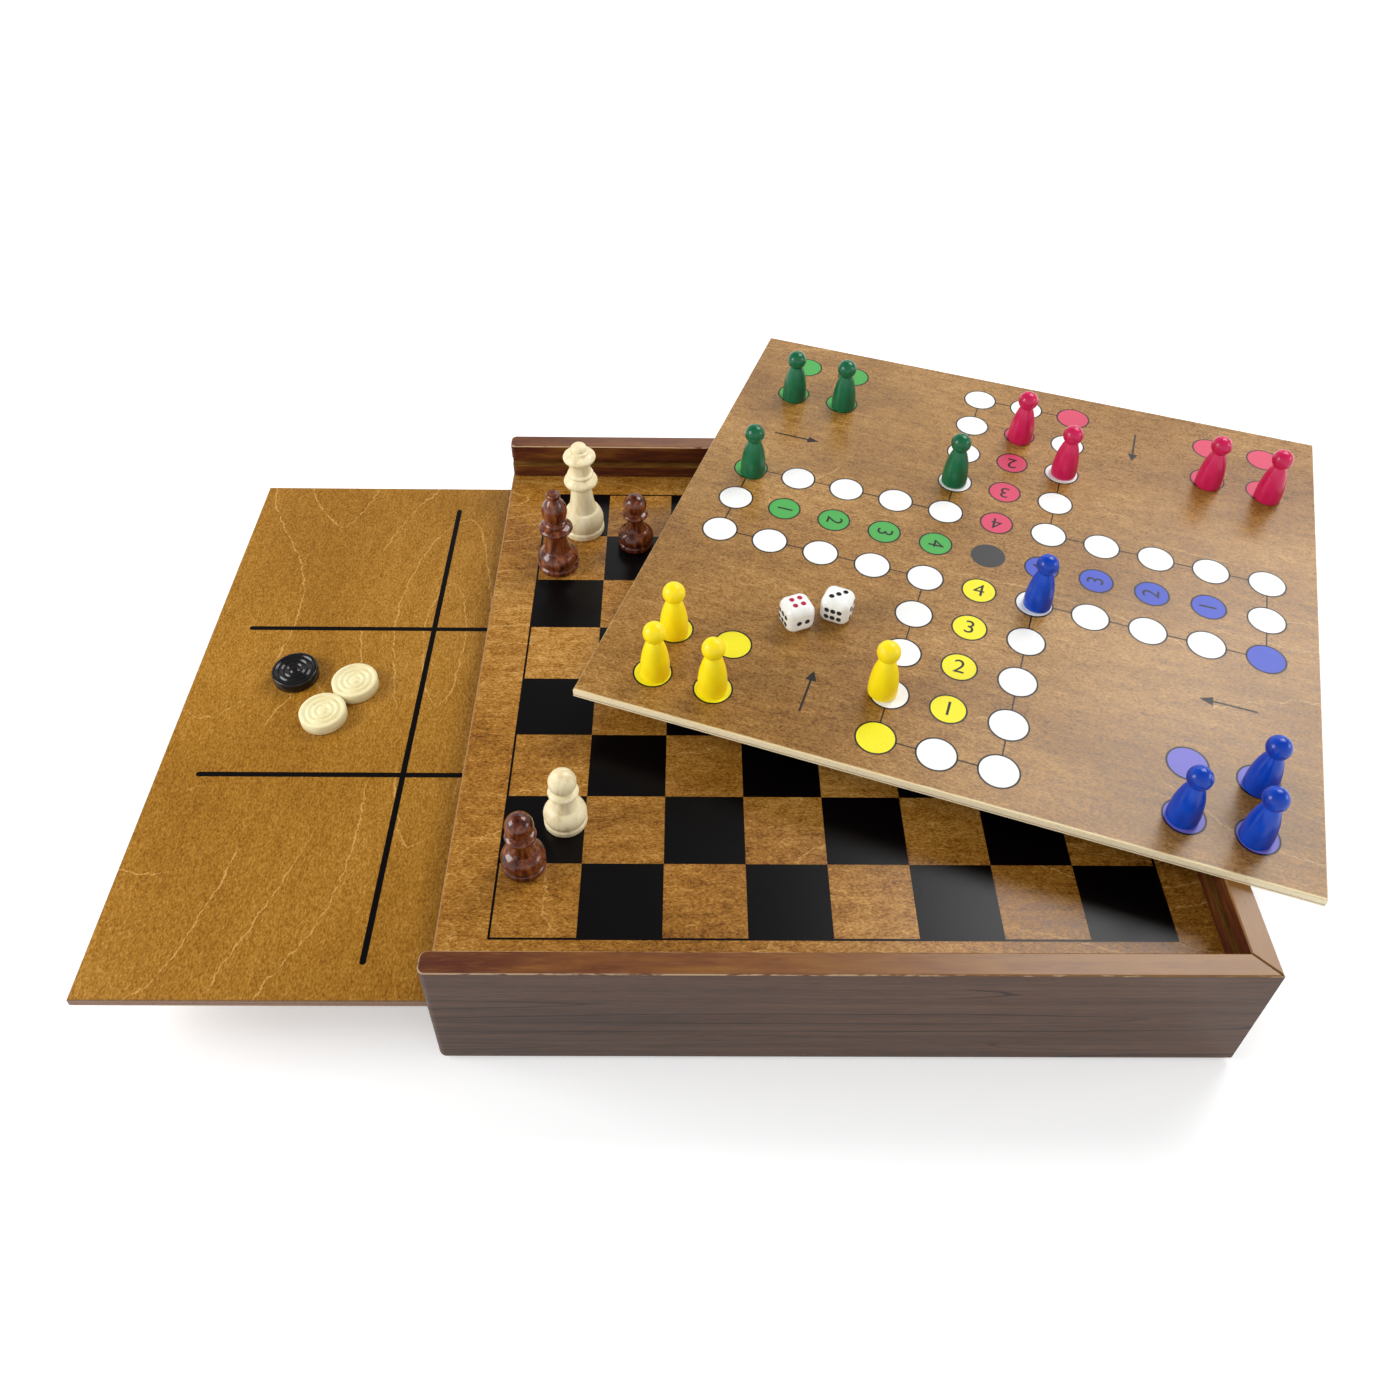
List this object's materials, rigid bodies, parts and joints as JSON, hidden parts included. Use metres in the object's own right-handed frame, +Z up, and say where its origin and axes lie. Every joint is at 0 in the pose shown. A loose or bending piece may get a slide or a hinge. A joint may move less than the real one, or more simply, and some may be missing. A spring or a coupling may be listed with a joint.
{
  "type": "games compendium box",
  "caption": "Wooden games compendium: grooved box with slide-in chess, tic-tac-toe and ludo boards, turned chessmen, draughts, pegs and dice.",
  "frame": {"origin": "middle of the box's underside", "axes": "+Z up from the underside, +X towards the closed end that the boards slide to, +Y to the back wall"},
  "size_m": [0.5182, 0.3716, 0.0914],
  "materials": {
    "wall_wood": "walnut stain, satin",
    "panel_ply": "walnut stain, matt",
    "board_ply": "brown stain, satin",
    "pale_boxwood": "satin varnish",
    "dark_rosewood": "gloss varnish",
    "black_lacquer": "gloss paint",
    "cream_lacquer": "matt paint",
    "die_white": "gloss",
    "peg_yellow": "gloss paint",
    "peg_green": "gloss paint",
    "peg_red": "gloss paint",
    "peg_blue": "gloss paint"
  },
  "bodies": {
    "box": {"front_wall": "wall_wood", "back_wall": "wall_wood", "right_wall": "wall_wood", "left_wall": "wall_wood", "bottom_panel": "panel_ply"},
    "chess": {"chess_board": "board_ply"},
    "tictactoe": {"tictactoe_board": "board_ply"},
    "ludo": {"ludo_board": "board_ply"},
    "peg_yellow_1": {"peg_yellow_1": "peg_yellow"},
    "peg_yellow_2": {"peg_yellow_2": "peg_yellow"},
    "peg_yellow_3": {"peg_yellow_3": "peg_yellow"},
    "peg_yellow_4": {"peg_yellow_4": "peg_yellow"},
    "peg_green_1": {"peg_green_1": "peg_green"},
    "peg_green_2": {"peg_green_2": "peg_green"},
    "peg_green_3": {"peg_green_3": "peg_green"},
    "peg_green_4": {"peg_green_4": "peg_green"},
    "peg_red_1": {"peg_red_1": "peg_red"},
    "peg_red_2": {"peg_red_2": "peg_red"},
    "peg_red_3": {"peg_red_3": "peg_red"},
    "peg_red_4": {"peg_red_4": "peg_red"},
    "peg_blue_1": {"peg_blue_1": "peg_blue"},
    "peg_blue_2": {"peg_blue_2": "peg_blue"},
    "peg_blue_3": {"peg_blue_3": "peg_blue"},
    "peg_blue_4": {"peg_blue_4": "peg_blue"},
    "die_1": {"die_1": "die_white"},
    "die_2": {"die_2": "die_white"},
    "queen_cream": {"queen_cream": "pale_boxwood"},
    "bishop_dark": {"bishop_dark": "dark_rosewood"},
    "pawn_cream": {"pawn_cream": "pale_boxwood"},
    "pawn_dark_1": {"pawn_dark_1": "dark_rosewood"},
    "pawn_dark_2": {"pawn_dark_2": "dark_rosewood"},
    "draught_black": {"draught_black": "black_lacquer"},
    "draught_cream_1": {"draught_cream_1": "cream_lacquer"},
    "draught_cream_2": {"draught_cream_2": "cream_lacquer"}
  },
  "joints": [
    {"name": "chess_slide", "type": "slide", "parent": "box", "child": "chess", "axis": [-1, 0, 0], "range_m": [0, 0.274]},
    {"name": "tictactoe_slide", "type": "slide", "parent": "box", "child": "tictactoe", "axis": [1, 0, 0], "range_m": [-0.149, 0.124]},
    {"name": "ludo_lift", "type": "slide", "parent": "box", "child": "ludo", "axis": [0, 0, 1], "range_m": [0, 0.12]},
    {"name": "peg_yellow_1_lift", "type": "slide", "parent": "ludo", "child": "peg_yellow_1", "axis": [0, 0, 1], "range_m": [0, 0.06]},
    {"name": "peg_yellow_2_lift", "type": "slide", "parent": "ludo", "child": "peg_yellow_2", "axis": [0, 0, 1], "range_m": [0, 0.06]},
    {"name": "peg_yellow_3_lift", "type": "slide", "parent": "ludo", "child": "peg_yellow_3", "axis": [0, 0, 1], "range_m": [0, 0.06]},
    {"name": "peg_yellow_4_lift", "type": "slide", "parent": "ludo", "child": "peg_yellow_4", "axis": [0, 0, 1], "range_m": [0, 0.06]},
    {"name": "peg_green_1_lift", "type": "slide", "parent": "ludo", "child": "peg_green_1", "axis": [0, 0, 1], "range_m": [0, 0.06]},
    {"name": "peg_green_2_lift", "type": "slide", "parent": "ludo", "child": "peg_green_2", "axis": [0, 0, 1], "range_m": [0, 0.06]},
    {"name": "peg_green_3_lift", "type": "slide", "parent": "ludo", "child": "peg_green_3", "axis": [0, 0, 1], "range_m": [0, 0.06]},
    {"name": "peg_green_4_lift", "type": "slide", "parent": "ludo", "child": "peg_green_4", "axis": [0, 0, 1], "range_m": [0, 0.06]},
    {"name": "peg_red_1_lift", "type": "slide", "parent": "ludo", "child": "peg_red_1", "axis": [0, 0, 1], "range_m": [0, 0.06]},
    {"name": "peg_red_2_lift", "type": "slide", "parent": "ludo", "child": "peg_red_2", "axis": [0, 0, 1], "range_m": [0, 0.06]},
    {"name": "peg_red_3_lift", "type": "slide", "parent": "ludo", "child": "peg_red_3", "axis": [0, 0, 1], "range_m": [0, 0.06]},
    {"name": "peg_red_4_lift", "type": "slide", "parent": "ludo", "child": "peg_red_4", "axis": [0, 0, 1], "range_m": [0, 0.06]},
    {"name": "peg_blue_1_lift", "type": "slide", "parent": "ludo", "child": "peg_blue_1", "axis": [0, 0, 1], "range_m": [0, 0.06]},
    {"name": "peg_blue_2_lift", "type": "slide", "parent": "ludo", "child": "peg_blue_2", "axis": [0, 0, 1], "range_m": [0, 0.06]},
    {"name": "peg_blue_3_lift", "type": "slide", "parent": "ludo", "child": "peg_blue_3", "axis": [0, 0, 1], "range_m": [0, 0.06]},
    {"name": "peg_blue_4_lift", "type": "slide", "parent": "ludo", "child": "peg_blue_4", "axis": [0, 0, 1], "range_m": [0, 0.06]},
    {"name": "die_1_lift", "type": "slide", "parent": "ludo", "child": "die_1", "axis": [0, 0, 1], "range_m": [0, 0.06]},
    {"name": "die_2_lift", "type": "slide", "parent": "ludo", "child": "die_2", "axis": [0, 0, 1], "range_m": [0, 0.06]},
    {"name": "queen_cream_lift", "type": "slide", "parent": "chess", "child": "queen_cream", "axis": [0, 0, 1], "range_m": [0, 0.08]},
    {"name": "bishop_dark_lift", "type": "slide", "parent": "chess", "child": "bishop_dark", "axis": [0, 0, 1], "range_m": [0, 0.08]},
    {"name": "pawn_cream_lift", "type": "slide", "parent": "chess", "child": "pawn_cream", "axis": [0, 0, 1], "range_m": [0, 0.08]},
    {"name": "pawn_dark_1_lift", "type": "slide", "parent": "chess", "child": "pawn_dark_1", "axis": [0, 0, 1], "range_m": [0, 0.08]},
    {"name": "pawn_dark_2_lift", "type": "slide", "parent": "chess", "child": "pawn_dark_2", "axis": [0, 0, 1], "range_m": [0, 0.08]},
    {"name": "draught_black_lift", "type": "slide", "parent": "tictactoe", "child": "draught_black", "axis": [0, 0, 1], "range_m": [0, 0.05]},
    {"name": "draught_cream_1_lift", "type": "slide", "parent": "tictactoe", "child": "draught_cream_1", "axis": [0, 0, 1], "range_m": [0, 0.05]},
    {"name": "draught_cream_2_lift", "type": "slide", "parent": "tictactoe", "child": "draught_cream_2", "axis": [0, 0, 1], "range_m": [0, 0.05]}
  ]
}
